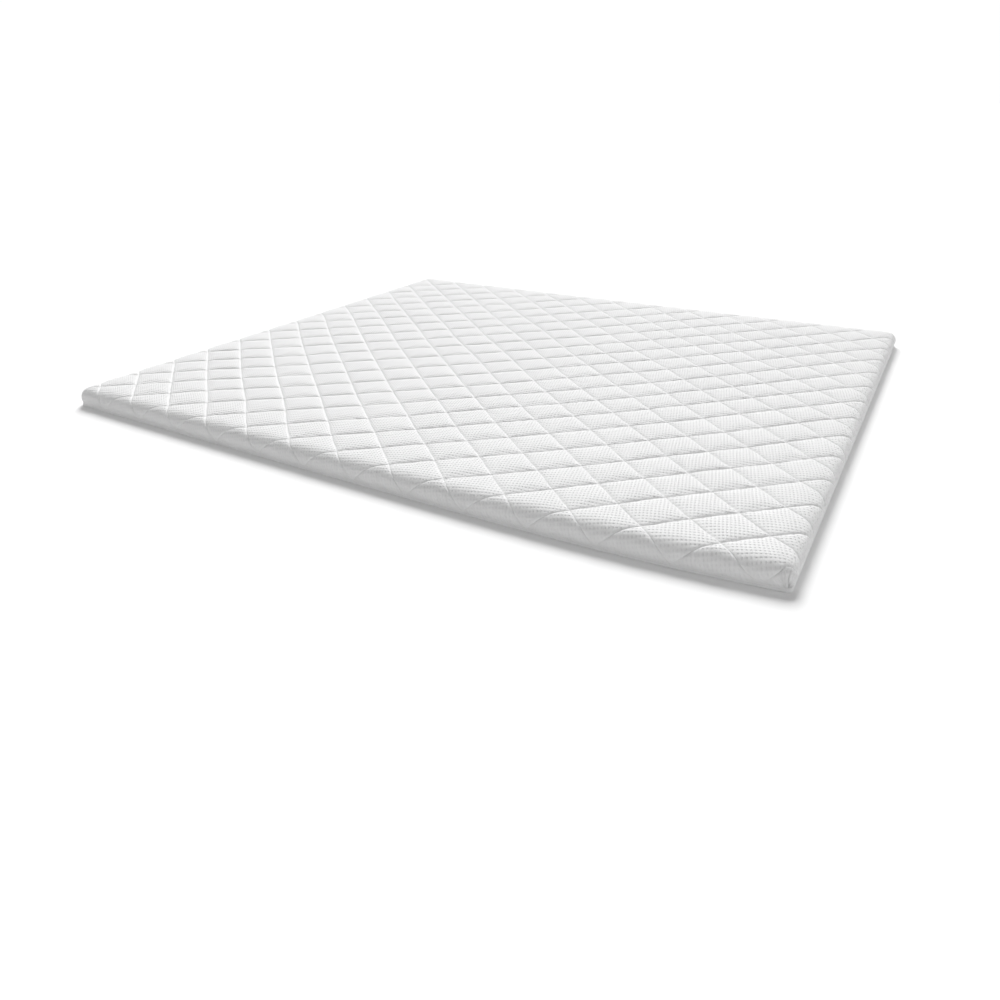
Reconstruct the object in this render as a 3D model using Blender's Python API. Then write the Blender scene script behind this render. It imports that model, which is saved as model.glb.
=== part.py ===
"""Quilted mattress topper, lying flat.

Metres, +Z up. The origin is in the middle of the underside, X runs along the length and Y
across the width. The quilted topper is one filled solid: a field of stitched diamonds, a border
that folds over a round shoulder, and a side face that reaches down to the seam. The base panel
is the plain cloth sewn under it, whose edge stands out a little as a lip.
"""

import math

import bmesh
import bpy

# Outer size
LENGTH = 2.011
WIDTH = 1.805

# Quilting: the stitched lines cross at the corners of a net of diamonds
DIAMOND_LENGTH = 0.1513
DIAMOND_WIDTH = 0.1406
FIELD_DIAMONDS_X = 12.5
FIELD_DIAMONDS_Y = 12
FIELD_START_X = -0.9539
FIELD_START_Y = -0.8483
STEPS_PER_DIAMOND = 4
PUFF = 0.006
PUFF_ON_SIDE = 0.003
PUFF_SHARPNESS = 3.0
PUFF_UNEVEN = 0.12

# Heights and the folded edge
BASE_THICKNESS = 0.0025
GAP = 0.0003
QUILT_LEVEL = 0.050
SHOULDER_RADIUS = 0.028
SHOULDER_STEPS = 4
FLAT_ROWS = 2
SIDE_MIDDLE = 0.55
SEAM_TUCK = 0.002
CORNER_RADIUS = 0.009
NEAR_LEFT_RADIUS = 0.024
CORNER_PULL = 0.08
CLOTH_STRETCH = 1.17
CROWN = 0.004
CROWN_POWER = 12

# Plan: the near side is bowed, most at its peak, the right side tapers towards the far corner, and
# the quilting has drifted a little in the middle
NEAR_DRAW = 0.033
NEAR_PEAK = 0.4
NEAR_POWER_LEFT = 1.2
NEAR_POWER_RIGHT = 2.6
RIGHT_TAPER = 0.026
DRAW_FADE = 3
DRIFT_RIGHT = 0.022
DRIFT_NEAR = 0.0345
DRIFT_POWER = 2.5

# Base panel
LIP = 0.0015
BASE_STEPS_ALONG_SIDE = 16
BASE_STEPS_ROUND_CORNER = 6

SEAM_LEVEL = BASE_THICKNESS + GAP
SIDE_DROP = QUILT_LEVEL - SHOULDER_RADIUS - SEAM_LEVEL
BEND_RUN = SHOULDER_RADIUS * math.pi / 2
FIELD_STEPS_X = round(FIELD_DIAMONDS_X * STEPS_PER_DIAMOND)
FIELD_STEPS_Y = round(FIELD_DIAMONDS_Y * STEPS_PER_DIAMOND)
FIELD_END_X = FIELD_START_X + FIELD_DIAMONDS_X * DIAMOND_LENGTH
FIELD_END_Y = FIELD_START_Y + FIELD_DIAMONDS_Y * DIAMOND_WIDTH
HALF_LENGTH = LENGTH / 2 - PUFF_ON_SIDE
HALF_WIDTH = WIDTH / 2 - PUFF_ON_SIDE

# Start of the shoulder, and the flat border that leads to it from the quilting's outer crossings
EDGE_X = HALF_LENGTH - SHOULDER_RADIUS
EDGE_Y = HALF_WIDTH - SHOULDER_RADIUS
FLAT_LEFT = EDGE_X + FIELD_START_X
FLAT_RIGHT = EDGE_X - FIELD_END_X
FLAT_NEAR = EDGE_Y + FIELD_START_Y
FLAT_FAR = EDGE_Y - FIELD_END_Y

KNIT_COLOUR = (0.86, 0.87, 0.88, 1.0)
BASE_COLOUR = (0.83, 0.83, 0.83, 1.0)
KNIT_ROUGHNESS = 0.9
BASE_ROUGHNESS = 0.85


def clear_scene():
    for obj in list(bpy.data.objects):
        bpy.data.objects.remove(obj, do_unlink=True)


def cloth_material(name, colour, roughness):
    material = bpy.data.materials.new(name)
    material.use_nodes = True
    shader = material.node_tree.nodes["Principled BSDF"]
    shader.inputs["Base Color"].default_value = colour
    shader.inputs["Roughness"].default_value = roughness
    shader.inputs["Metallic"].default_value = 0.0
    material.diffuse_color = colour
    return material


def bent_runs():
    """Runs of cloth from the start of the shoulder to each row of the folded edge."""
    runs = [BEND_RUN * step / SHOULDER_STEPS for step in range(1, SHOULDER_STEPS + 1)]
    return runs + [BEND_RUN + SIDE_DROP * SIDE_MIDDLE, BEND_RUN + SIDE_DROP]


BENT_RUNS = bent_runs()
EDGE_ROWS = FLAT_ROWS + len(BENT_RUNS)


def flat_and_run(steps, flat_low, flat_high):
    """Signed flat border and signed bent run that lead to a row outside the field."""
    flat = (flat_high if steps > 0 else flat_low) * min(abs(steps), FLAT_ROWS) / FLAT_ROWS
    run = BENT_RUNS[abs(steps) - FLAT_ROWS - 1] if abs(steps) > FLAT_ROWS else 0.0
    return math.copysign(flat, steps), math.copysign(run, steps)


def folded_edge(run):
    """(lean, reach, height) of the cloth a given run beyond the flat border."""
    if run <= BEND_RUN:
        lean = run / SHOULDER_RADIUS
        reach = SHOULDER_RADIUS * math.sin(lean)
        return lean, reach, QUILT_LEVEL - SHOULDER_RADIUS * (1 - math.cos(lean))
    drop = run - BEND_RUN
    reach = SHOULDER_RADIUS - SEAM_TUCK * (drop / SIDE_DROP) ** 2
    return math.pi / 2, reach, QUILT_LEVEL - SHOULDER_RADIUS - drop


def quilt_rise(cloth_x, cloth_y):
    """Height of the filling between the stitched lines, from 0 on a line to about 1."""
    along = (cloth_x - FIELD_START_X) / DIAMOND_LENGTH
    across = (cloth_y - FIELD_START_Y) / DIAMOND_WIDTH
    rise = 1.0
    for place in (along - across, along + across):
        from_line = 2 * abs(place - round(place))
        rise *= 1 - (1 - from_line) ** PUFF_SHARPNESS
    cell_a = math.floor(along - across)
    cell_b = math.floor(along + across)
    return rise * (1 + PUFF_UNEVEN * math.sin(2.3 * cell_a + 4.1 * cell_b))


def drawn_in(x, y):
    """Plan place once the near side is bowed, the right side tapers and the quilting has drifted."""
    along = x / HALF_LENGTH
    across = y / HALF_WIDTH
    if along < NEAR_PEAK:
        bow = ((NEAR_PEAK - along) / (1 + NEAR_PEAK)) ** NEAR_POWER_LEFT
    else:
        bow = ((along - NEAR_PEAK) / (1 - NEAR_PEAK)) ** NEAR_POWER_RIGHT
    inward_x = RIGHT_TAPER * (across + 1) / 2 * max(along, 0.0) ** DRAW_FADE
    inward_y = NEAR_DRAW * bow * max(-across, 0.0) ** DRAW_FADE
    middle = max(1 - along ** 2, 0.0) * max(1 - abs(across) ** DRIFT_POWER, 0.0)
    return x - inward_x + DRIFT_RIGHT * middle, y + inward_y - DRIFT_NEAR * middle


def near_corner(place, edge):
    """0 well inside a side, rising smoothly to 1 where the shoulder of the next side starts."""
    share = min(max(1 - (edge - abs(place)) / CORNER_PULL, 0.0), 1.0)
    return share * share * (3 - 2 * share)


def corner_radius(x, y):
    """Plan radius of the seam's turn at the corner that a place belongs to."""
    return NEAR_LEFT_RADIUS if x < 0 and y < 0 else CORNER_RADIUS


def steps_outside(index, field_steps):
    """Signed number of rows by which a grid index lies outside the field."""
    if index < EDGE_ROWS:
        return index - EDGE_ROWS
    if index > EDGE_ROWS + field_steps:
        return index - EDGE_ROWS - field_steps
    return 0


def outward_direction(run_x, run_y):
    """Plan direction of a bent row; in a corner block the rows fan round a quarter turn."""
    run = max(abs(run_x), abs(run_y))
    if run == 0:
        return 0.0, 0.0
    turn = math.pi / 4 * min(abs(run_x), abs(run_y)) / run
    if abs(run_y) > abs(run_x):
        turn = math.pi / 2 - turn
    return math.copysign(math.cos(turn), run_x), math.copysign(math.sin(turn), run_y)


def folded_place(i, j):
    """Place of grid point (i, j) once its cloth lies on the field or is folded over the edge.

    The lower a row lies, the tighter it turns round the corners, seen from above."""
    field_i = min(max(i - EDGE_ROWS, 0), FIELD_STEPS_X)
    field_j = min(max(j - EDGE_ROWS, 0), FIELD_STEPS_Y)
    x = FIELD_START_X + field_i * DIAMOND_LENGTH / STEPS_PER_DIAMOND
    y = FIELD_START_Y + field_j * DIAMOND_WIDTH / STEPS_PER_DIAMOND
    flat_x, run_x = flat_and_run(steps_outside(i, FIELD_STEPS_X), FLAT_LEFT, FLAT_RIGHT)
    flat_y, run_y = flat_and_run(steps_outside(j, FIELD_STEPS_Y), FLAT_NEAR, FLAT_FAR)
    cloth_x = x + (flat_x + run_x) / CLOTH_STRETCH
    cloth_y = y + (flat_y + run_y) / CLOTH_STRETCH

    run = max(abs(run_x), abs(run_y))
    lean, reach, height = folded_edge(run)
    puff = PUFF + (PUFF_ON_SIDE - PUFF) * lean / (math.pi / 2)
    if run == BENT_RUNS[-1]:
        puff = 0.0
    puff *= quilt_rise(cloth_x, cloth_y)
    turn_x, turn_y = outward_direction(run_x, run_y)
    tighter = max(reach - corner_radius(x, y), 0.0) * (run / BENT_RUNS[-1]) ** 2
    reach += puff * math.sin(lean) - tighter
    x += flat_x
    y += flat_y
    outermost = max(abs(x) / HALF_LENGTH, abs(y) / HALF_WIDTH)
    height -= CROWN * outermost ** CROWN_POWER * (1 - run / BENT_RUNS[-1])
    x += math.copysign(tighter * near_corner(x, EDGE_X), x) + turn_x * reach
    y += math.copysign(tighter * near_corner(y, EDGE_Y), y) + turn_y * reach
    return *drawn_in(x, y), height + puff * math.cos(lean)


def on_stitch_line(i, j):
    along = i - EDGE_ROWS
    across = j - EDGE_ROWS
    inside = 0 <= along <= FIELD_STEPS_X and 0 <= across <= FIELD_STEPS_Y
    return inside and 0 in ((along - across) % STEPS_PER_DIAMOND, (along + across) % STEPS_PER_DIAMOND)


def finish_object(bm, name, material, smooth_angle):
    bmesh.ops.recalc_face_normals(bm, faces=bm.faces)
    mesh = bpy.data.meshes.new(name)
    bm.to_mesh(mesh)
    bm.free()
    mesh.shade_smooth()
    mesh.set_sharp_from_angle(angle=smooth_angle)
    mesh.materials.append(material)
    obj = bpy.data.objects.new(name, mesh)
    bpy.context.scene.collection.objects.link(obj)
    return obj


def make_quilted_topper(material):
    """The cover and its filling as one body: a flat grid, folded over its edges and closed below."""
    columns = FIELD_STEPS_X + 2 * EDGE_ROWS
    rows = FIELD_STEPS_Y + 2 * EDGE_ROWS
    bm = bmesh.new()
    bmesh.ops.create_grid(bm, x_segments=columns, y_segments=rows, size=1.0)
    stitched = []
    for vert in bm.verts:
        i = round((vert.co.x + 1) / 2 * columns)
        j = round((vert.co.y + 1) / 2 * rows)
        vert.co = folded_place(i, j)
        if on_stitch_line(i, j):
            stitched.append(vert)
    bmesh.ops.connect_verts(bm, verts=stitched)
    open_edges = [edge for edge in bm.edges if edge.is_boundary]
    bmesh.ops.contextual_create(bm, geom=open_edges)
    return finish_object(bm, "quilted_topper", material, math.radians(50))


def base_outline():
    """Plan outline of the base panel: straight sides joined by round corners."""
    bends = []
    for quarter, (side_x, side_y) in enumerate(((1, 1), (-1, 1), (-1, -1), (1, -1))):
        radius = corner_radius(side_x, side_y)
        centre = side_x * (HALF_LENGTH - radius), side_y * (HALF_WIDTH - radius)
        bend = []
        for step in range(BASE_STEPS_ROUND_CORNER + 1):
            turn = math.pi / 2 * (quarter + step / BASE_STEPS_ROUND_CORNER)
            outward = math.cos(turn), math.sin(turn)
            bend.append(tuple(middle + radius * out for middle, out in zip(centre, outward)))
        bends.append(bend)
    outline = []
    for bend, next_bend in zip(bends, bends[1:] + bends[:1]):
        outline += bend
        start, end = bend[-1], next_bend[0]
        for step in range(1, BASE_STEPS_ALONG_SIDE):
            share = step / BASE_STEPS_ALONG_SIDE
            outline.append(tuple(a + (b - a) * share for a, b in zip(start, end)))
    return [drawn_in(x, y) for x, y in outline]


def make_base_panel(material):
    """A thin sheet with a rounded edge: its middle row stands out as the lip of the seam."""
    bm = bmesh.new()
    bottom = bm.faces.new([bm.verts.new((x, y, 0.0)) for x, y in base_outline()])
    bottom.normal_update()
    rows = ((BASE_THICKNESS / 2, LIP), (BASE_THICKNESS, -LIP))
    edges = list(bottom.edges)
    for height, widen in rows:
        grown = bmesh.ops.extrude_edge_only(bm, edges=edges)["geom"]
        edges = [item for item in grown if isinstance(item, bmesh.types.BMEdge)]
        for vert in [item for item in grown if isinstance(item, bmesh.types.BMVert)]:
            x, y, _ = vert.co
            scale_x = 1 + widen / HALF_LENGTH
            scale_y = 1 + widen / HALF_WIDTH
            vert.co = (x * scale_x, y * scale_y, height)
    bmesh.ops.contextual_create(bm, geom=edges)
    return finish_object(bm, "base_panel", material, math.radians(40))


def main():
    clear_scene()
    make_quilted_topper(cloth_material("knit_cloth", KNIT_COLOUR, KNIT_ROUGHNESS))
    make_base_panel(cloth_material("base_cloth", BASE_COLOUR, BASE_ROUGHNESS))


main()
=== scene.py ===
"""A quilted mattress topper lying on a pale floor: cover, quilting thread, base cloth and hem.

The file is laid out as an add-on. Run as a script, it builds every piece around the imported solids.
The cover is drawn first as flat cloth, in metres, and each of its points is then folded over the
topper's round shoulder and down its sides, so quilting, thread and knit all follow one cloth.
"""

import bisect
import math

import bmesh
import bpy
from mathutils import Matrix, Vector, noise


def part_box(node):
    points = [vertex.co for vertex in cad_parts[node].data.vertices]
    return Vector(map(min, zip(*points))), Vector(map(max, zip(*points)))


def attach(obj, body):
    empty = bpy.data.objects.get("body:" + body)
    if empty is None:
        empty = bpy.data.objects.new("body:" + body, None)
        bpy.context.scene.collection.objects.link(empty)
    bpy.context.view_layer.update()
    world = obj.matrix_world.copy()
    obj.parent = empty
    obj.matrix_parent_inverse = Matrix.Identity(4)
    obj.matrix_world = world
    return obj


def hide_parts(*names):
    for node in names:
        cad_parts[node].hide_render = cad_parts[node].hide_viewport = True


bl_info = {
    "name": "Quilted Mattress Topper",
    "version": (1, 0, 0),
    "blender": (4, 5, 0),
    "location": "View3D > Sidebar > Topper",
    "description": "Builds a quilted, knitted mattress topper around its packed solids",
    "category": "Add Mesh",
}

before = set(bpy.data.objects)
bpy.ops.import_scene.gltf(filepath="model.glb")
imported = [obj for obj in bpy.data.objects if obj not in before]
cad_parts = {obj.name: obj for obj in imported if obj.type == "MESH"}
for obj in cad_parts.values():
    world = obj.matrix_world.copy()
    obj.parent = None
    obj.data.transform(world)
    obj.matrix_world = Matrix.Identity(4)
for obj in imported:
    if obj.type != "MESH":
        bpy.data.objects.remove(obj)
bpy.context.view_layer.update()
SOLID_LOW, SOLID_HIGH = (Vector(corner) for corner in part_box("quilted_topper"))
PANEL_LOW, PANEL_HIGH = (Vector(corner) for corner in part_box("base_panel"))

BODY = "root"
CLOTH_MAP = "cloth"
DOWN_SHARE = "down_share"
LINE_SHARE = "line_share"
MM = 0.001


def length_property(name, description, default):
    return bpy.props.FloatProperty(
        name=name, description=description, default=default, unit="LENGTH", precision=4
    )


def number_property(name, description, default):
    return bpy.props.FloatProperty(name=name, description=description, default=default)


def angle_property(name, description, degrees):
    return bpy.props.FloatProperty(
        name=name, description=description, default=math.radians(degrees), subtype="ANGLE"
    )


def colour_property(name, description, default):
    return bpy.props.FloatVectorProperty(
        name=name, description=description, default=default, size=3, subtype="COLOR", min=0, max=1
    )


def point_property(name, description, default):
    return bpy.props.FloatVectorProperty(
        name=name, description=description, default=default, size=3, subtype="XYZ", unit="LENGTH"
    )


class TopperSizes(bpy.types.PropertyGroup):
    """Sizes of the topper's cover and its quilting."""

    diamond_length: length_property("Diamond length", "Quilted diamond, along X", 0.1513)
    diamond_width: length_property("Diamond width", "Quilted diamond, along Y", 0.1406)
    field_start_x: length_property("Field start X", "First crossing of the lines, X", -0.9539)
    field_start_y: length_property("Field start Y", "First crossing of the lines, Y", -0.8483)
    diamonds_along: number_property("Diamonds along", "Diamonds between outer crossings, X", 12.5)
    diamonds_across: number_property("Diamonds across", "Diamonds between outer crossings, Y", 12)
    quilt_level: length_property("Quilt level", "Height of the lines above the floor", 0.050)
    shoulder: length_property("Shoulder radius", "Rounding from the top to the sides", 0.028)
    panel_lip: length_property("Base panel lip", "How far the base panel stands out", 0.0015)
    seam_tuck: length_property("Seam tuck", "How far the bottom seam is drawn in", 0.002)
    corner_radius: length_property("Corner radius", "A corner's turn at the seam", 0.009)
    left_radius: length_property("Near left corner radius", "The near left corner's turn", 0.024)
    crown: length_property("Crown", "How much lower the sides lie", 0.004)
    near_draw: length_property("Near side draw", "How far its ends are drawn in", 0.033)
    right_taper: length_property("Right side taper", "How far its far end is drawn in", 0.026)
    drift_right: length_property("Drift to the right", "Shift of the middle, along X", 0.022)
    drift_near: length_property("Drift to the near", "Shift of the middle, against Y", 0.0345)
    stretch: number_property("Side stretch", "Stretch of the cloth down the sides", 1.17)
    notch_rise: length_property("Notch rise", "Depth of the thread's own notch", 0.0023)
    notch_run: length_property("Notch run", "Distance over which the notch opens", 0.0016)
    roll_rise: length_property("Roll rise", "Height of the rolled edge of each diamond", 0.0032)
    roll_run: length_property("Roll run", "Distance over which the roll gains its height", 0.009)
    dome_rise: length_property("Dome rise", "Extra height in the middle of a diamond", 0.0012)
    uneven: number_property("Unevenness", "How much the diamonds differ in fullness", 0.2)
    stitch_pitch: length_property("Stitch pitch", "Distance from one stitch to the next", 0.0041)
    stitch_length: length_property("Stitch length", "Thread that shows of each stitch", 0.0044)
    thread_width: length_property("Thread width", "Width of the thread", 0.0008)
    hem_height: length_property("Hem height", "Height of the turned-up hem", 0.009)
    base_thickness: length_property("Base cloth thickness", "Thickness of the base cloth", 0.0012)


class KnitLook(bpy.types.PropertyGroup):
    """Colours of the cloths, the pores' painted shade and the hem's painted light, and the knit's
    scale.
    """

    knit_colour: colour_property("Knit", "Colour of the knitted cover", (0.88, 0.88, 0.88))
    # Painted shade: the pores are given a darker colour, standing in for the shade inside them.
    pore_shade_colour: colour_property("Pores", "Colour inside the knit's pores", (0.45, 0.45, 0.46))
    thread_colour: colour_property("Thread", "Colour of the quilting thread", (0.78, 0.78, 0.78))
    # Painted light: the base cloth's own white is raised so the hem looks lit by light bounced off
    # the floor.
    base_colour_with_painted_bounce: colour_property("Base cloth", "Colour of the base and hem", (0.94, 0.94, 0.94))
    pore_across: length_property("Pore pitch across", "Distance between pores in a row", 0.0075)
    pore_along: length_property("Pore pitch along", "Distance between rows of pores", 0.0105)
    knit_turn: angle_property("Knit turn", "Turn of the pore rows from the topper's length", 16)


class StudioSettings(bpy.types.PropertyGroup):
    """Camera, lights and floor."""

    camera_place: point_property("Camera", "Where the camera stands", (1.1525, -2.1475, 0.7925))
    camera_aim: point_property("Aim", "Point that the camera looks at", (0.4169, -0.8860, 0.05))
    camera_roll: angle_property("Roll", "Turn of the camera about its line of sight", -0.5)
    lens: number_property("Lens", "Focal length for a 36 mm wide sensor, in mm", 28.66)
    floor_colour: colour_property("Floor", "Colour of the studio floor", (0.97, 0.97, 0.97))
    sky_level: number_property("Sky", "Brightness of the even studio light", 0.27)
    horizon_level: number_property("Horizon", "Brightness of the backdrop at floor height", 1.02)
    key_level: number_property("Key light", "Strength of the light from the far left", 3.75)
    fill_level: number_property("Fill light", "Strength of the soft light from the right", 0.35)


# ---------------------------------------------------------------------------------------------
# Cloth: from the plane to the topper
# ---------------------------------------------------------------------------------------------

# Plan: where along the near side the bow peaks, the powers of the bow, of the fades away from a
# side and of the drift, and the distance from a corner over which the cloth is pulled along
NEAR_PEAK = 0.4
NEAR_POWERS = (1.2, 2.6)
DRAW_FADE = 3
DRIFT_POWER = 2.5
CORNER_PULL = 0.08

# Heights: the crown, the waves of the filling and how both calm down on the sides
CROWN_POWER = 12
WAVE_RISE = 0.0006
WAVE_PITCH = 11
WAVE_SEED = 3.0
SIDE_FLATNESS = 0.8
FLATTER_BY = 0.3
SEAM_CALM = 0.25
DIAMOND_SEED = (3.71, 5.37, 0.5)

# Lines of stitching: how far they stray, and how far those of the near side slip towards it
LINE_WANDER = 0.005
WANDER_PITCH = 3.5
WANDER_SEEDS = (9.0, 21.0)
NEAR_SLIP = 0.007
SLIP_REACH = 0.15

# The tuck at each corner: a narrow crease in a wider hollow, by angle from X and by way down
TUCK_DEPTH = 0.0036
TUCK_HOLLOW = 0.0012
TUCK_WIDER = 2.5
TUCK_TURN = math.radians(57)
TUCK_SPREAD = math.radians(4)
TUCK_MIDDLE = 0.62
TUCK_REACH = 0.1


def smooth_step(value):
    """Smooth step from 0 to 1 of a value that is held between them."""
    value = min(max(value, 0.0), 1.0)
    return value * value * (3 - 2 * value)


class Cloth:
    """The flat cloth, its net of stitched lines and the fold that lays it over the topper."""

    def __init__(self, sizes):
        self.sizes = sizes
        reaches = (max(-low, high) for low, high in zip(PANEL_LOW.xy, PANEL_HIGH.xy))
        self.half = tuple(reach - sizes.panel_lip for reach in reaches)
        end_x = sizes.field_start_x + sizes.diamonds_along * sizes.diamond_length
        end_y = sizes.field_start_y + sizes.diamonds_across * sizes.diamond_width
        self.field = ((sizes.field_start_x, end_x), (sizes.field_start_y, end_y))
        self.flat = tuple(
            tuple(half - abs(end) - sizes.shoulder for end in ends)
            for half, ends in zip(self.half, self.field)
        )
        self.seam_level = SOLID_LOW.z
        self.bend_run = sizes.shoulder * math.pi / 2
        self.side_drop = sizes.quilt_level - sizes.shoulder - self.seam_level
        self.line_gap = 1 / math.hypot(1 / sizes.diamond_length, 1 / sizes.diamond_width)

    def edge(self, axis, side):
        """Flat coordinate of the bottom seam on the low (0) or the high (1) side of an axis."""
        run = (self.flat[axis][side] + self.bend_run + self.side_drop) / self.sizes.stretch
        return self.field[axis][side] + (run if side else -run)

    def crossings(self, x, y):
        """Place of a point on the net, whose stitched lines lie at whole numbers."""
        along = (x - self.field[0][0]) / self.sizes.diamond_length
        across = (y - self.field[1][0]) / self.sizes.diamond_width
        return along - across, along + across

    def from_crossings(self, a, b):
        """Flat point at a place on the net."""
        x = self.field[0][0] + (a + b) / 2 * self.sizes.diamond_length
        y = self.field[1][0] + (b - a) / 2 * self.sizes.diamond_width
        return x, y

    def knit_place(self, x, y):
        """Place of a flat point on the knit itself, which isn't stretched at the border."""
        place = []
        for value, (low, high) in zip((x, y), self.field):
            inside = min(max(value, low), high)
            place.append(inside + (value - inside) * self.sizes.stretch)
        return place

    def beside_line(self, x, y):
        """Distance in the plane to the nearest line of each family."""
        return [abs(place - round(place)) * self.line_gap for place in self.crossings(x, y)]

    def border(self, x, y):
        """(root, plan direction, share) of a flat point: where its cloth starts to bend down,
        which way it bends, and how far it is from there (0) to the bottom seam (1)."""
        root, shares, signs = [], [], []
        for axis, value in enumerate((x, y)):
            low, high = self.field[axis]
            inside = min(max(value, low), high)
            side = int(value > inside)
            sign = (value > inside) - (value < inside)
            flat = self.flat[axis][side]
            run = abs(value - inside) * self.sizes.stretch
            root.append(inside + sign * min(run, flat))
            signs.append(sign)
            shares.append(max(run - flat, 0) / (self.bend_run + self.side_drop))
        share = max(shares)
        if share == 0:
            return root, (0.0, 0.0), 0.0
        turn = math.pi / 4 * min(shares) / share
        if shares[1] > shares[0]:
            turn = math.pi / 2 - turn
        return root, (math.cos(turn) * signs[0], math.sin(turn) * signs[1]), share

    def drawn_in(self, x, y):
        """Plan place once the near side is bowed, the right side tapers towards the far corner and
        the quilting has drifted in the middle."""
        sizes = self.sizes
        along, across = x / self.half[0], y / self.half[1]
        if along < NEAR_PEAK:
            bow = ((NEAR_PEAK - along) / (1 + NEAR_PEAK)) ** NEAR_POWERS[0]
        else:
            bow = ((along - NEAR_PEAK) / (1 - NEAR_PEAK)) ** NEAR_POWERS[1]
        inward_x = sizes.right_taper * (across + 1) / 2 * max(along, 0) ** DRAW_FADE
        inward_y = sizes.near_draw * bow * max(-across, 0) ** DRAW_FADE
        middle = max(1 - along ** 2, 0) * max(1 - abs(across) ** DRIFT_POWER, 0)
        return x - inward_x + sizes.drift_right * middle, y + inward_y - sizes.drift_near * middle

    def lay(self, border, reach, height):
        """Point at a plan distance beyond the border's root. The lower it is, the tighter is its
        turn round a corner, and the cloth beside the corner is pulled along."""
        root, direction, share = border
        near_left = root[0] < 0 and root[1] < 0
        radius = self.sizes.left_radius if near_left else self.sizes.corner_radius
        tighter = max(reach - radius, 0) * share ** 2
        plan = []
        for axis in (0, 1):
            inside = self.half[axis] - self.sizes.shoulder - abs(root[axis])
            pulled = smooth_step(1 - inside / CORNER_PULL)
            place = root[axis] + math.copysign(tighter * pulled, root[axis])
            plan.append(place + direction[axis] * (reach - tighter))
        return Vector((*self.drawn_in(*plan), height))

    def crown_drop(self, root, share):
        """How far the crowned top lies under its middle, which fades out down the sides."""
        outermost = max(abs(place) / half for place, half in zip(root, self.half))
        return self.sizes.crown * outermost ** CROWN_POWER * (1 - share)

    def fold(self, x, y):
        """(place, normal, share of the way down) of a flat point once it lies on the topper."""
        sizes = self.sizes
        border = self.border(*self.wander(x, y, self.border(x, y)[2]))
        root, direction, share = border
        drop = self.crown_drop(root, share)
        if share == 0:
            return self.lay(border, 0, sizes.quilt_level - drop), Vector((0, 0, 1)), 0.0
        run = share * (self.bend_run + self.side_drop)
        if run <= self.bend_run:
            lean = run / sizes.shoulder
            height = sizes.quilt_level - sizes.shoulder * (1 - math.cos(lean))
            reach = sizes.shoulder * math.sin(lean)
        else:
            lean = math.pi / 2
            below = run - self.bend_run
            height = sizes.quilt_level - sizes.shoulder - below
            reach = sizes.shoulder - sizes.seam_tuck * (below / self.side_drop) ** 2
        out = math.sin(lean)
        normal = Vector((direction[0] * out, direction[1] * out, math.cos(lean)))
        return self.lay(border, reach, height - drop), normal, share

    def rise(self, x, y, share):
        """Height of the filled cloth over its stitched lines."""
        sizes = self.sizes
        notch, roll, dome = 1.0, 1.0, 1.0
        for place in self.crossings(x, y):
            off = abs(place - round(place))
            notch *= 1 - math.exp(-off * self.line_gap / sizes.notch_run)
            roll *= 1 - math.exp(-off * self.line_gap / sizes.roll_run)
            dome *= math.sin(math.pi * off)
        a, b = (math.floor(place) for place in self.crossings(x, y))
        seed_a, seed_b, seed = DIAMOND_SEED
        fullness = 1 + sizes.uneven * noise.noise(Vector((a * seed_a, b * seed_b, seed)))
        waves = WAVE_RISE * noise.noise(Vector((x * WAVE_PITCH, y * WAVE_PITCH, WAVE_SEED)))
        filling = roll * (sizes.roll_rise * fullness + waves) + dome * sizes.dome_rise * fullness
        flatter = 1 - SIDE_FLATNESS * min(share / FLATTER_BY, 1)
        height = notch * sizes.notch_rise + filling * flatter
        return height * smooth_step((1 - share) / SEAM_CALM)

    def wander(self, x, y, share):
        """Flat point moved a little, as stitched lines never run quite true, save at the seam."""
        hold = (1 - share) ** 2
        place = x * WANDER_PITCH, y * WANDER_PITCH
        move_x, move_y = (noise.noise(Vector((*place, seed))) for seed in WANDER_SEEDS)
        loose = LINE_WANDER * hold
        from_row = abs(y - self.field[1][0]) / SLIP_REACH
        slip = NEAR_SLIP * smooth_step(1 - from_row) * max(1 - (x / self.half[0]) ** 2, 0) * hold
        return x + move_x * loose, y + move_y * loose - slip

    def corner_tuck(self, x, y, share):
        """How far the upright crease at each corner moves the surface, which is inwards."""
        direction = self.border(x, y)[1]
        if not direction[0] or not direction[1]:
            return 0.0
        aside = (math.atan2(abs(direction[1]), abs(direction[0])) - TUCK_TURN) / TUCK_SPREAD
        down = (share - TUCK_MIDDLE) / TUCK_REACH
        crease = TUCK_DEPTH * math.exp(-aside ** 2 - down ** 2)
        hollow = TUCK_HOLLOW * math.exp(-(aside / TUCK_WIDER) ** 2 - (down / TUCK_WIDER) ** 2)
        return -crease - hollow


# ---------------------------------------------------------------------------------------------
# Objects and materials
# ---------------------------------------------------------------------------------------------


def object_from(bm, name, material):
    """Smooth object of one material, made from a working mesh, which is used up."""
    mesh = bpy.data.meshes.new(name)
    bm.to_mesh(mesh)
    bm.free()
    mesh.shade_smooth()
    mesh.materials.append(material)
    piece = bpy.data.objects.new(name, mesh)
    bpy.context.scene.collection.objects.link(piece)
    return piece


def apply_modifiers(piece):
    """Make what a piece's modifiers show into its mesh."""
    graph = bpy.context.evaluated_depsgraph_get()
    done = bpy.data.meshes.new_from_object(piece.evaluated_get(graph), depsgraph=graph)
    old = piece.data
    piece.modifiers.clear()
    piece.data = done
    bpy.data.meshes.remove(old)
    done.name = piece.name


def hand_over(piece, slot, *replaced):
    """Let a finished piece ride on the topper and stand for the solids named."""
    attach(piece, BODY)
    if replaced:
        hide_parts(*replaced)


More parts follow.
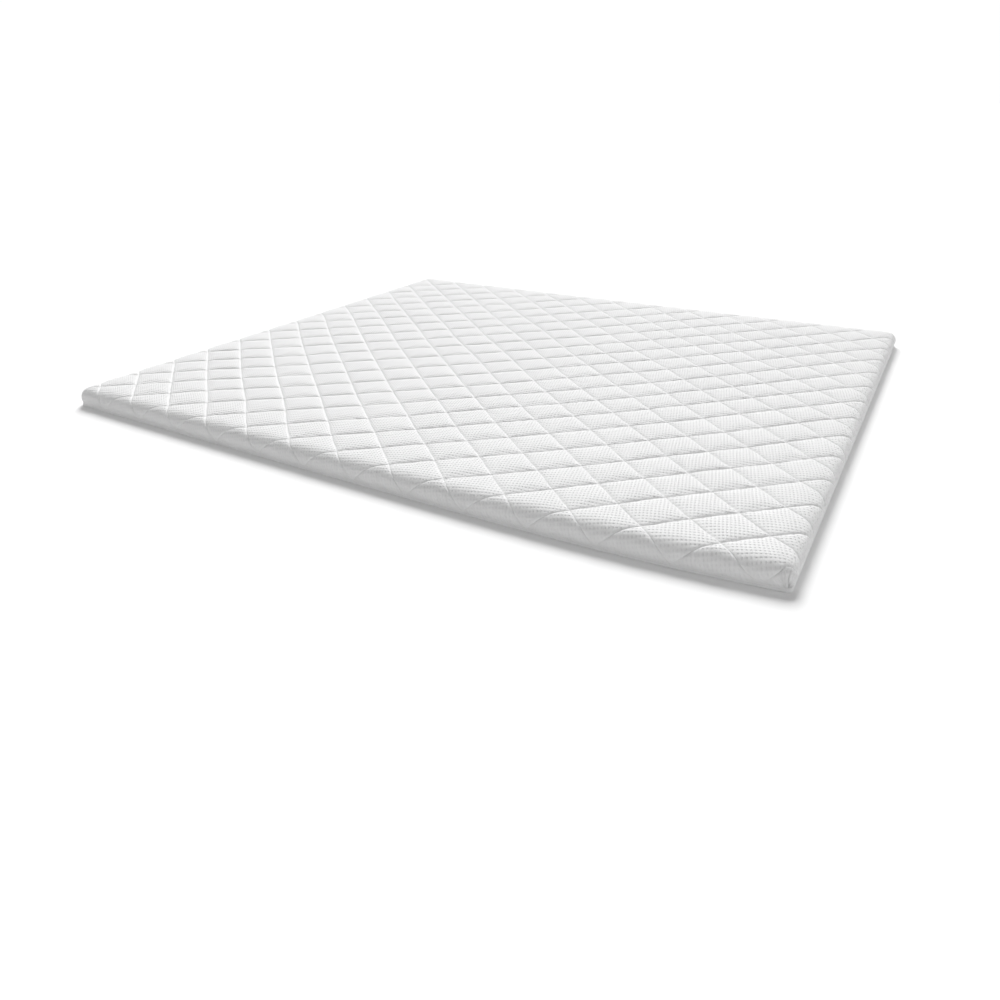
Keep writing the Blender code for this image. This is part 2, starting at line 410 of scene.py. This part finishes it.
class Wire:
    """A shader value that Python's own signs can work on."""

    def __init__(self, tree, socket):
        self.tree = tree
        self.socket = socket

    def maths(self, operation, *others):
        node = self.tree.nodes.new("ShaderNodeMath")
        node.operation = operation
        for slot, value in zip(node.inputs, (self, *others)):
            if isinstance(value, Wire):
                self.tree.links.new(value.socket, slot)
            else:
                slot.default_value = value
        return Wire(self.tree, node.outputs[0])

    def __add__(self, other):
        return self.maths("ADD", other)

    def __mul__(self, other):
        return self.maths("MULTIPLY", other)

    def __sub__(self, other):
        return self.maths("SUBTRACT", other)

    def __rsub__(self, other):
        return self * -1 + other

    def __truediv__(self, other):
        return self.maths("DIVIDE", other)

    __radd__ = __add__
    __rmul__ = __mul__

    def wave(self):
        """Cosine of as many turns as the value says."""
        return (self * (2 * math.pi)).maths("COSINE")


class Shading:
    """A node tree under construction, of a material or of the sky."""

    def __init__(self, owner):
        owner.use_nodes = True
        self.tree = owner.node_tree

    def fill(self, node, sockets):
        """Link or set a node's sockets, which go by name or by number."""
        for name, value in sockets.items():
            if isinstance(value, Wire):
                self.tree.links.new(value.socket, node.inputs[name])
            else:
                node.inputs[name].default_value = value

    def node(self, kind, settings, sockets, output=0):
        """One output of a new node, whose settings are made before its sockets are filled."""
        node = self.tree.nodes.new(kind)
        for name, value in settings.items():
            setattr(node, name, value)
        self.fill(node, sockets)
        return Wire(self.tree, node.outputs[output])

    def parts(self, vector):
        """The X, Y and Z wires of a vector."""
        first = self.node("ShaderNodeSeparateXYZ", {}, {"Vector": vector})
        return [Wire(self.tree, output) for output in first.socket.node.outputs]

    def step(self, value, low, high, start=0.0, end=1.0):
        """Soft step between two values, from the start to the end."""
        smooth = {"interpolation_type": "SMOOTHSTEP"}
        limits = {"From Min": low, "From Max": high, "To Min": start, "To Max": end}
        return self.node("ShaderNodeMapRange", smooth, {"Value": value, **limits})


class Finish(Shading):
    """A material under construction."""

    def __init__(self, name):
        self.material = bpy.data.materials.new(name)
        super().__init__(self.material)

    def on_object(self):
        """Place on the object, in metres."""
        return self.node("ShaderNodeTexCoord", {}, {}, "Object")

    def stored(self, name):
        """Number that is stored in the mesh's points under a name."""
        return self.node("ShaderNodeAttribute", {"attribute_name": name}, {}, "Fac")

    def mixed(self, share, low, high):
        """Colour between two colours."""
        colours = {0: share, 6: low, 7: high}
        return self.node("ShaderNodeMix", {"data_type": "RGBA"}, colours, 2)

    def noise(self, place, scale, detail):
        """Even noise about 0.5."""
        sockets = {"Vector": place, "Scale": scale, "Detail": detail}
        return self.node("ShaderNodeTexNoise", {}, sockets)

    def bump(self, height, distance):
        """Normal of a surface raised by a height, in shares of a distance."""
        return self.node("ShaderNodeBump", {}, {"Height": height, "Distance": distance})

    def done(self, colour, normal, roughness, **constants):
        """Wire up the surface, set the shader's even values and hand over the material."""
        shader = self.tree.nodes["Principled BSDF"]
        self.fill(shader, {"Base Color": colour, "Normal": normal, "Roughness": roughness})
        self.fill(shader, {name.replace("_", " "): value for name, value in constants.items()})
        return self.material


def tone(colour, share=1.0):
    """A colour, or a share of its brightness, for a colour socket."""
    return (*(value * share for value in colour), 1.0)


# The knit: waver of the columns and rows in pore pitches, weights of the two waves that cross in
# a pore (top face, then the change down a side), and the wave heights where a pore starts and ends
COLUMN_WAVER = 0.6
ROW_WAVER = 0.3
COLUMN_WEIGHTS = (0.46, 0.25)
ROW_WEIGHTS = (0.54, -0.34)
PORE_START = 0.32
PORE_END = 0.92

# How much of the pores and their painted shade is lost on the side faces and beside the stitched
# lines
SIDE_LOSS = 0.6
LINE_LOSS = 0.9

# Finer forms: wales and courses for each column and row of pores, threads of the plain cloth for
# each metre, and the scales of noise
WALES = 4
COURSES = 6
THREADS_A_METRE = 620
WAVER_SCALE = 14
FIBRE_SCALE = 1100
TINT_SCALE = 4
SLUB_SCALE = 60
TWIST_SCALE = 600


def knit_finish(look):
    """White knit: rows of small open pores, with painted shade in them, and fine loops between them.
    """
    finish = Finish("white_knit")
    place = finish.node("ShaderNodeUVMap", {"uv_map": CLOTH_MAP}, {})
    turn = {"Vector": place, "Rotation": (0, 0, -look.knit_turn)}
    waver = finish.noise(place, WAVER_SCALE, 1) - 0.5
    along, across, _ = finish.parts(finish.node("ShaderNodeMapping", {}, turn))
    columns = along / look.pore_across + waver * COLUMN_WAVER
    rows = across / look.pore_along + waver * ROW_WAVER
    side = finish.step(finish.stored(DOWN_SHARE), 0.0, 0.5)
    line = finish.stored(LINE_SHARE)
    column_weight = side * COLUMN_WEIGHTS[1] + COLUMN_WEIGHTS[0]
    row_weight = side * ROW_WEIGHTS[1] + ROW_WEIGHTS[0]
    mesh = columns.wave() * column_weight + rows.wave() * row_weight
    open_share = (1 - side * SIDE_LOSS) * (1 - line * LINE_LOSS)
    pore = finish.step(mesh, PORE_START, PORE_END) * open_share
    wales = (columns * WALES).wave()
    courses = (rows * COURSES + wales * 0.2).wave()
    loops = wales * 0.08 + courses * 0.06
    fibre = finish.noise(place, FIBRE_SCALE, 2)
    wale = finish.node("ShaderNodeCombineXYZ", {}, {"X": columns * 0.6, "Y": rows * 0.1})
    streak = finish.noise(wale, 1, 2)
    relief = loops - pore - mesh * 0.2 + fibre * 0.1 + streak * (side * 1.5 + 0.5)
    tint = finish.noise(place, TINT_SCALE, 3) * 0.5 + streak * 0.5
    cloth = finish.mixed(tint, tone(look.knit_colour, 0.96), tone(look.knit_colour))
    # Painted shade: the pores are darkened in the base colour as well as sunk in the bump.
    return finish.done(
        finish.mixed(pore * 0.3, cloth, tone(look.pore_shade_colour)),
        finish.bump(relief, 1.4 * MM),
        pore * 0.05 + 0.88,
        Sheen_Weight=0.15,
        Sheen_Roughness=0.5,
        Specular_IOR_Level=0.2,
    )


def thread_finish(look):
    """Twisted sewing thread."""
    finish = Finish("sewing_thread")
    bands = {"Vector": finish.on_object(), "Scale": TWIST_SCALE, "Distortion": 1.5}
    twist = finish.node("ShaderNodeTexWave", {"bands_direction": "DIAGONAL"}, bands)
    return finish.done(
        finish.mixed(twist, tone(look.thread_colour, 0.88), tone(look.thread_colour)),
        finish.bump(twist, 0.1 * MM),
        0.6,
        Sheen_Weight=0.2,
        Specular_IOR_Level=0.3,
    )


def base_finish(look):
    """Plain close-woven cloth, its own white lightened further as painted bounce light on the hem.
    """
    finish = Finish("plain_base_cloth")
    place = finish.on_object()
    x, y, z = finish.parts(place)
    weave = (x * THREADS_A_METRE).wave() * ((y + z) * THREADS_A_METRE).wave()
    slub = finish.noise(place, SLUB_SCALE, 4)
    tint = slub * 0.7 + weave * 0.15 + 0.15
    return finish.done(
        finish.mixed(tint, tone(look.base_colour_with_painted_bounce, 0.93), tone(look.base_colour_with_painted_bounce)),
        finish.bump(weave * 0.5 + slub * 0.6, 0.3 * MM),
        0.85,
        Sheen_Weight=0.15,
        Specular_IOR_Level=0.2,
    )


# ---------------------------------------------------------------------------------------------
# Quilted cover
# ---------------------------------------------------------------------------------------------

# Places of the mesh rows across one diamond, close together beside the stitched lines
CELL_ROWS = (0.0, 0.014, 0.06, 0.22, 0.50, 0.78, 0.94, 0.986)

# Extra cuts of the mesh at the corners, and how far from a line the knit has fewer pores
CORNER_CUTS = 2
PORELESS_RUN = 0.008

# Swelling: points this near a line or this far down a side are held, and none moves past a limit
ON_LINE = 0.0002
HELD_SHARE = 0.8
SWELL_FRAMES = 18
SWELL_LIMIT = 0.0015
SMALLEST = 1e-9


def net_range(cloth):
    """First line and number of diamonds of the net, for each family, that cover the flat cloth."""
    corners = [
        cloth.crossings(cloth.edge(0, i), cloth.edge(1, j)) for i in (0, 1) for j in (0, 1)
    ]
    spans = []
    for family in (0, 1):
        places = [corner[family] for corner in corners]
        first = math.floor(min(places))
        spans.append((first, math.ceil(max(places)) - first))
    return spans


def flat_cover(cloth):
    """Flat cloth as a net of diamonds, trimmed to its four edges."""
    (first_a, count_a), (first_b, count_b) = net_range(cloth)
    rows = len(CELL_ROWS)
    bm = bmesh.new()
    bmesh.ops.create_grid(bm, x_segments=count_a * rows, y_segments=count_b * rows, size=1)
    for vert in bm.verts:
        i = round((vert.co.x + 1) / 2 * count_a * rows)
        j = round((vert.co.y + 1) / 2 * count_b * rows)
        a = first_a + i // rows + CELL_ROWS[i % rows]
        b = first_b + j // rows + CELL_ROWS[j % rows]
        vert.co = (*cloth.from_crossings(a, b), 0)
    for axis in (0, 1):
        for side in (0, 1):
            point, outward = Vector(), Vector()
            point[axis] = cloth.edge(axis, side)
            outward[axis] = 1 if side else -1
            parts = bm.verts[:] + bm.edges[:] + bm.faces[:]
            bmesh.ops.bisect_plane(
                bm, geom=parts, dist=0.2 * MM, plane_co=point, plane_no=outward, clear_outer=True
            )
    return bm


def on_topper(cloth, x, y):
    """Place of the filled cover's surface over a flat cloth point."""
    place, normal, share = cloth.fold(x, y)
    return place + normal * (cloth.rise(x, y, share) + cloth.corner_tuck(x, y, share))


def swelling(cloth, flat):
    """How each point moves when the held cloth swells and wrinkles under a little pressure."""
    bm = flat.copy()
    held = []
    for index, vert in enumerate(bm.verts):
        x, y = vert.co.xy
        low_down = cloth.fold(x, y)[2] > HELD_SHARE
        if vert.is_boundary or low_down or min(cloth.beside_line(x, y)) < ON_LINE:
            held.append(index)
        vert.co = on_topper(cloth, x, y)
    trial = object_from(bm, "swelling_trial", None)
    start = [vert.co.copy() for vert in trial.data.vertices]
    group = trial.vertex_groups.new(name="held")
    group.add(held, 1.0, "REPLACE")
    swell = trial.modifiers.new("swell", "CLOTH")
    settings = swell.settings
    settings.quality = 5
    settings.mass = 0.2
    settings.tension_stiffness = 12
    settings.compression_stiffness = 12
    settings.shear_stiffness = 4
    settings.bending_stiffness = 0.1
    settings.vertex_group_mass = group.name
    settings.use_pressure = True
    settings.uniform_pressure_force = 0.4
    settings.shrink_min = -0.005
    settings.effector_weights.gravity = 0
    swell.point_cache.frame_start = 1
    swell.point_cache.frame_end = SWELL_FRAMES
    scene = bpy.context.scene
    for number in range(1, SWELL_FRAMES + 1):
        scene.frame_set(number)
    graph = bpy.context.evaluated_depsgraph_get()
    moved = [vert.co.copy() for vert in trial.evaluated_get(graph).data.vertices]
    scene.frame_set(1)
    mesh = trial.data
    bpy.data.objects.remove(trial)
    bpy.data.meshes.remove(mesh)
    moves = [after - before for before, after in zip(start, moved)]
    return [move * min(1, SWELL_LIMIT / max(move.length, SMALLEST)) for move in moves]


class TOPPER_OT_cover(bpy.types.Operator):
    """Knitted cover, quilted in diamonds over its filling, top and sides in one"""

    bl_idname = "topper.cover"
    bl_label = "Quilted cover"

    def execute(self, context):
        cloth = Cloth(context.scene.topper_sizes)
        bm = flat_cover(cloth)
        swell = bm.verts.layers.float_vector.new("swell")
        for vert, move in zip(bm.verts, swelling(cloth, bm)):
            vert[swell] = move
        bmesh.ops.subdivide_edges(bm, edges=bm.edges[:], cuts=1, use_grid_fill=True)
        corners = {vert for vert in bm.verts if all(cloth.border(*vert.co.xy)[1])}
        fine = [edge for edge in bm.edges if corners.issuperset(edge.verts)]
        bmesh.ops.subdivide_edges(bm, edges=fine, cuts=CORNER_CUTS, use_grid_fill=True)
        # Trimmed faces are cut up while they are flat, so that none of them folds over itself
        bmesh.ops.triangulate(bm, faces=[face for face in bm.faces if len(face.verts) > 4])
        uv = bm.loops.layers.uv.new(CLOTH_MAP)
        for face in bm.faces:
            for loop in face.loops:
                loop[uv].uv = cloth.knit_place(*loop.vert.co.xy)
        down = bm.verts.layers.float.new(DOWN_SHARE)
        line = bm.verts.layers.float.new(LINE_SHARE)
        for vert in bm.verts:
            vert[down] = cloth.border(*vert.co.xy)[2]
            vert[line] = smooth_step(1 - min(cloth.beside_line(*vert.co.xy)) / PORELESS_RUN)
            vert.co = on_topper(cloth, *vert.co.xy) + vert[swell]
        bmesh.ops.contextual_create(bm, geom=[edge for edge in bm.edges if edge.is_boundary])
        bmesh.ops.recalc_face_normals(bm, faces=bm.faces)
        bm.verts.layers.float_vector.remove(swell)
        piece = object_from(bm, "quilted_cover", knit_finish(context.scene.topper_look))
        hand_over(piece, "quilted_knit", "quilted_topper")
        return {"FINISHED"}


# ---------------------------------------------------------------------------------------------
# Thread
# ---------------------------------------------------------------------------------------------

STITCH_SIDES = 5
STITCH_RINGS = 3
STITCH_FLATNESS = 0.75
THREAD_SUNK = -0.15
LAST_STITCH_SHARE = 0.8


def stitch_rows(sizes, count, rows=1, row_step=(0, 0, 0)):
    """Stitches in a straight row along X from the origin, and copies of the row."""
    bm = bmesh.new()
    flat_width = sizes.thread_width * STITCH_FLATNESS
    size = Matrix.Diagonal((sizes.stitch_length, sizes.thread_width, flat_width, 1))
    middle = Matrix.Translation((sizes.stitch_pitch / 2, 0, 0))
    turned = Matrix.Rotation(math.pi / 2, 4, "Y")
    bmesh.ops.create_uvsphere(
        bm,
        u_segments=STITCH_SIDES,
        v_segments=STITCH_RINGS,
        radius=0.5,
        matrix=middle @ size @ turned,
    )
    points = len(bm.verts)
    piece = object_from(bm, "stitch_rows", None)
    for number, step in ((count, (sizes.stitch_pitch, 0, 0)), (rows, row_step)):
        array = piece.modifiers.new("repeat", "ARRAY")
        array.count = number
        array.use_relative_offset = False
        array.use_constant_offset = True
        array.constant_offset_displace = step
    apply_modifiers(piece)
    made = bmesh.new()
    made.from_mesh(piece.data)
    mesh = piece.data
    bpy.data.objects.remove(piece)
    bpy.data.meshes.remove(mesh)
    verts = made.verts[:]
    return made, [verts[start:start + points] for start in range(0, len(verts), points)]


def quilt_thread(cloth, family):
    """All stitches along one family of the net's lines, laid on the folded cover."""
    sizes = cloth.sizes
    spans = net_range(cloth)
    (first, lines), (start, length) = spans[family], spans[1 - family]

    def on_line(line, place):
        crossing = (place, line) if family else (line, place)
        return Vector((*cloth.from_crossings(*crossing), 0))

    origin = on_line(first, start)
    along = on_line(first, start + 1) - origin
    across = on_line(first + 1, start) - origin
    turn = Matrix.Rotation(math.atan2(along.y, along.x), 4, "Z")
    count = math.floor(length * along.length / sizes.stitch_pitch)
    bm, stitches = stitch_rows(sizes, count, lines + 1, turn.inverted() @ across)
    spare = []
    for stitch in stitches:
        middle = origin + turn @ (sum((vert.co for vert in stitch), Vector()) / len(stitch))
        inside = all(cloth.edge(k, 0) < middle[k] < cloth.edge(k, 1) for k in (0, 1))
        if not inside or cloth.fold(*middle.xy)[2] > LAST_STITCH_SHARE:
            spare += stitch
            continue
        for vert in stitch:
            flat = origin + turn @ vert.co
            place, normal, _ = cloth.fold(*flat.xy)
            vert.co = place + normal * (flat.z + sizes.thread_width * THREAD_SUNK)
    bmesh.ops.delete(bm, geom=spare, context="VERTS")
    return bm


class TOPPER_OT_thread(bpy.types.Operator):
    """Quilting thread: one piece for each direction of the stitched lines"""

    bl_idname = "topper.thread"
    bl_label = "Quilting thread"

    def execute(self, context):
        cloth = Cloth(context.scene.topper_sizes)
        finish = thread_finish(context.scene.topper_look)
        for family, name in enumerate(("quilting_thread_rising", "quilting_thread_falling")):
            piece = object_from(quilt_thread(cloth, family), name, finish)
            hand_over(piece, "quilted_knit")
        return {"FINISHED"}


# ---------------------------------------------------------------------------------------------
# Base cloth and hem
# ---------------------------------------------------------------------------------------------

# Section of the base cloth from the underside's edge up the turned hem: share of the hem's
# height, and distance inside (negative) or outside the side face
HEM_SECTION = (
    (0.00, -0.0015),
    (0.03, 0.0002),
    (0.10, 0.0012),
    (0.18, 0.0016),
    (0.32, 0.0014),
    (0.46, 0.0010),
    (0.62, 0.0007),
    (0.78, 0.0004),
    (0.92, 0.0000),
    (1.00, -0.0007),
)
HEM_STEPS = 300
HEM_WAVE = 0.0004
HEM_WAVE_PITCH = 30
HEM_WAVE_SEED = 7.0
HEM_THREAD_LEVEL = 0.62
HEM_THREAD_OUT = 0.0006


def hem_point(cloth, x, y, level, out):
    """Point on the hem beside a point of the cover's bottom edge."""
    sizes = cloth.sizes
    root, direction, _ = cloth.border(x, y)
    height = level * sizes.hem_height
    share = 1 - max(height - cloth.seam_level, 0) / (cloth.bend_run + cloth.side_drop)
    place = cloth.lay((root, direction, share), sizes.shoulder + out, height)
    spot = Vector((x * HEM_WAVE_PITCH, y * HEM_WAVE_PITCH, HEM_WAVE_SEED + level))
    wave = noise.noise(spot)
    return place + Vector((*direction, 0)) * wave * HEM_WAVE * math.sin(math.pi * level)


class TOPPER_OT_base(bpy.types.Operator):
    """Base cloth under the topper, with its turned-up hem and the hem's stitching"""

    bl_idname = "topper.base"
    bl_label = "Base cloth"

    def execute(self, context):
        sizes = context.scene.topper_sizes
        look = context.scene.topper_look
        cloth = Cloth(sizes)
        bm = bmesh.new()
        bmesh.ops.create_grid(bm, x_segments=1, y_segments=1, size=1)
        for vert in bm.verts:
            vert.co.x = cloth.edge(0, int(vert.co.x > 0))
            vert.co.y = cloth.edge(1, int(vert.co.y > 0))
        bmesh.ops.subdivide_edges(bm, edges=bm.edges[:], cuts=HEM_STEPS)
        flat = bm.verts.layers.float_vector.new("flat")
        for vert in bm.verts:
            vert[flat] = vert.co
        edges = bm.edges[:]
        for number, (level, out) in enumerate(HEM_SECTION):
            verts = bm.verts[:]
            if number:
                grown = bmesh.ops.extrude_edge_only(bm, edges=edges)["geom"]
                edges = [part for part in grown if isinstance(part, bmesh.types.BMEdge)]
                verts = [part for part in grown if isinstance(part, bmesh.types.BMVert)]
            for vert in verts:
                vert.co = hem_point(cloth, vert[flat].x, vert[flat].y, level, out)
        rim = [vert[flat].copy() for vert in ordered_rim(edges)]
        bmesh.ops.recalc_face_normals(bm, faces=bm.faces)
        if max(bm.faces, key=lambda face: face.calc_area()).normal.z > 0:
            bmesh.ops.reverse_faces(bm, faces=bm.faces)
        bm.verts.layers.float_vector.remove(flat)
        piece = object_from(bm, "base_cloth", base_finish(look))
        thick = piece.modifiers.new("thickness", "SOLIDIFY")
        thick.thickness = sizes.base_thickness
        thick.offset = -1
        apply_modifiers(piece)
        piece.data.shade_smooth()

        thread = object_from(self.hem_thread(cloth, rim), "hem_thread", thread_finish(look))
        hand_over(thread, "base_cloth")
        hand_over(piece, "base_cloth", "base_panel")
        return {"FINISHED"}

    def hem_thread(self, cloth, rim):
        """A row of stitches that runs right round the hem."""
        sizes = cloth.sizes
        points = [hem_point(cloth, x, y, HEM_THREAD_LEVEL, HEM_THREAD_OUT) for x, y, _ in rim]
        points.append(points[0])
        marks = [0.0]
        for here, there in zip(points, points[1:]):
            marks.append(marks[-1] + (there - here).length)
        bm, stitches = stitch_rows(sizes, math.floor(marks[-1] / sizes.stitch_pitch))
        for stitch in stitches:
            for vert in stitch:
                along, side, out = vert.co
                index = min(max(bisect.bisect_right(marks, along) - 1, 0), len(points) - 2)
                here, there = points[index], points[index + 1]
                forward = (there - here).normalized()
                place = here + forward * (along - marks[index])
                outward = forward.cross(Vector((0, 0, 1)))
                vert.co = place + Vector((0, 0, side)) + outward * out
        return bm


def ordered_rim(edges):
    """Points of a closed loop of edges in walking order, anticlockwise from above."""
    start = edges[0].verts[0]
    loop = set(edges)
    rim = [start]
    edge = edges[0]
    vert = edge.other_vert(start)
    while vert is not start:
        rim.append(vert)
        edge = next(link for link in vert.link_edges if link in loop and link is not edge)
        vert = edge.other_vert(vert)
    area = sum(a.co.x * b.co.y - b.co.x * a.co.y for a, b in zip(rim, rim[1:] + rim[:1]))
    return rim if area > 0 else rim[::-1]


# ---------------------------------------------------------------------------------------------
# Studio
# ---------------------------------------------------------------------------------------------

FLOOR_RADIUS = 60.0
KEY_FROM = (-0.54, 0.9, 0.85)
KEY_SPREAD = 30
FILL_FROM = (1.0, 0.15, 0.75)
FILL_SPREAD = 60
HORIZON_TOP = 0.08
SKY_START = 0.40


class TOPPER_OT_studio(bpy.types.Operator):
    """Pale floor, soft light and the camera"""

    bl_idname = "topper.studio"
    bl_label = "Studio"

    def execute(self, context):
        studio = context.scene.topper_studio
        self.floor(studio)
        self.sky(context.scene, studio)
        self.sun(context.scene, "key_light", studio.key_level, KEY_FROM, KEY_SPREAD)
        self.sun(context.scene, "fill_light", studio.fill_level, FILL_FROM, FILL_SPREAD)
        self.camera(context.scene, studio)
        context.scene.view_settings.view_transform = "Standard"
        return {"FINISHED"}

    def floor(self, studio):
        """Wide pale floor with a faint grain."""
        finish = Finish("studio_floor")
        grain = finish.noise(finish.on_object(), 3, 2)
        colour = finish.mixed(grain, tone(studio.floor_colour, 0.99), tone(studio.floor_colour))
        bm = bmesh.new()
        bmesh.ops.create_circle(bm, cap_ends=True, segments=96, radius=FLOOR_RADIUS)
        finish.done(colour, finish.bump(grain, 0.1 * MM), 0.9, Specular_IOR_Level=0.1)
        object_from(bm, "studio_floor", finish.material)

    def sky(self, scene, studio):
        """Even light, a little brighter near the floor so that floor and backdrop meet unseen."""
        world = bpy.data.worlds.new("studio_sky")
        shading = Shading(world)
        direction = shading.node("ShaderNodeTexCoord", {}, {}, "Generated")
        up = shading.parts(direction)[2]
        levels = studio.horizon_level, studio.sky_level
        light = shading.step(up, HORIZON_TOP, SKY_START, *levels)
        background = shading.tree.nodes["Background"]
        shading.fill(background, {"Color": (1, 1, 1, 1), "Strength": light})
        scene.world = world

    def sun(self, scene, name, level, place, spread):
        """Distant light that comes from the direction of a place."""
        sun = bpy.data.lights.new(name, "SUN")
        sun.energy = level
        sun.angle = math.radians(spread)
        lamp = bpy.data.objects.new(name, sun)
        lamp.rotation_euler = Vector(place).to_track_quat("Z", "Y").to_euler()
        scene.collection.objects.link(lamp)

    def camera(self, scene, studio):
        """Camera that looks at the aim, turned about its line of sight."""
        lens = bpy.data.cameras.new("camera")
        lens.lens = studio.lens
        lens.sensor_width = 36
        camera = bpy.data.objects.new("camera", lens)
        camera.location = studio.camera_place
        sight = Vector(studio.camera_aim) - Vector(studio.camera_place)
        aim = sight.to_track_quat("-Z", "Y").to_matrix()
        camera.rotation_euler = (aim @ Matrix.Rotation(studio.camera_roll, 3, "Z")).to_euler()
        scene.collection.objects.link(camera)
        scene.camera = camera


# ---------------------------------------------------------------------------------------------
# Add-on
# ---------------------------------------------------------------------------------------------

BUILD_STEPS = (TOPPER_OT_studio, TOPPER_OT_cover, TOPPER_OT_thread, TOPPER_OT_base)


class TOPPER_PT_build(bpy.types.Panel):
    """Build steps in the 3D view's sidebar"""

    bl_idname = "TOPPER_PT_build"
    bl_label = "Topper"
    bl_space_type = "VIEW_3D"
    bl_region_type = "UI"
    bl_category = "Topper"

    def draw(self, context):
        for step in BUILD_STEPS:
            self.layout.operator(step.bl_idname)


GROUPS = {"topper_sizes": TopperSizes, "topper_look": KnitLook, "topper_studio": StudioSettings}
CLASSES = (*GROUPS.values(), *BUILD_STEPS, TOPPER_PT_build)


def register():
    for item in CLASSES:
        bpy.utils.register_class(item)
    for name, group in GROUPS.items():
        setattr(bpy.types.Scene, name, bpy.props.PointerProperty(type=group))


def unregister():
    for name in GROUPS:
        delattr(bpy.types.Scene, name)
    for item in reversed(CLASSES):
        bpy.utils.unregister_class(item)


def main():
    register()
    bpy.ops.topper.studio()
    bpy.ops.topper.cover()
    bpy.ops.topper.thread()
    bpy.ops.topper.base()


if __name__ == "__main__":
    main()
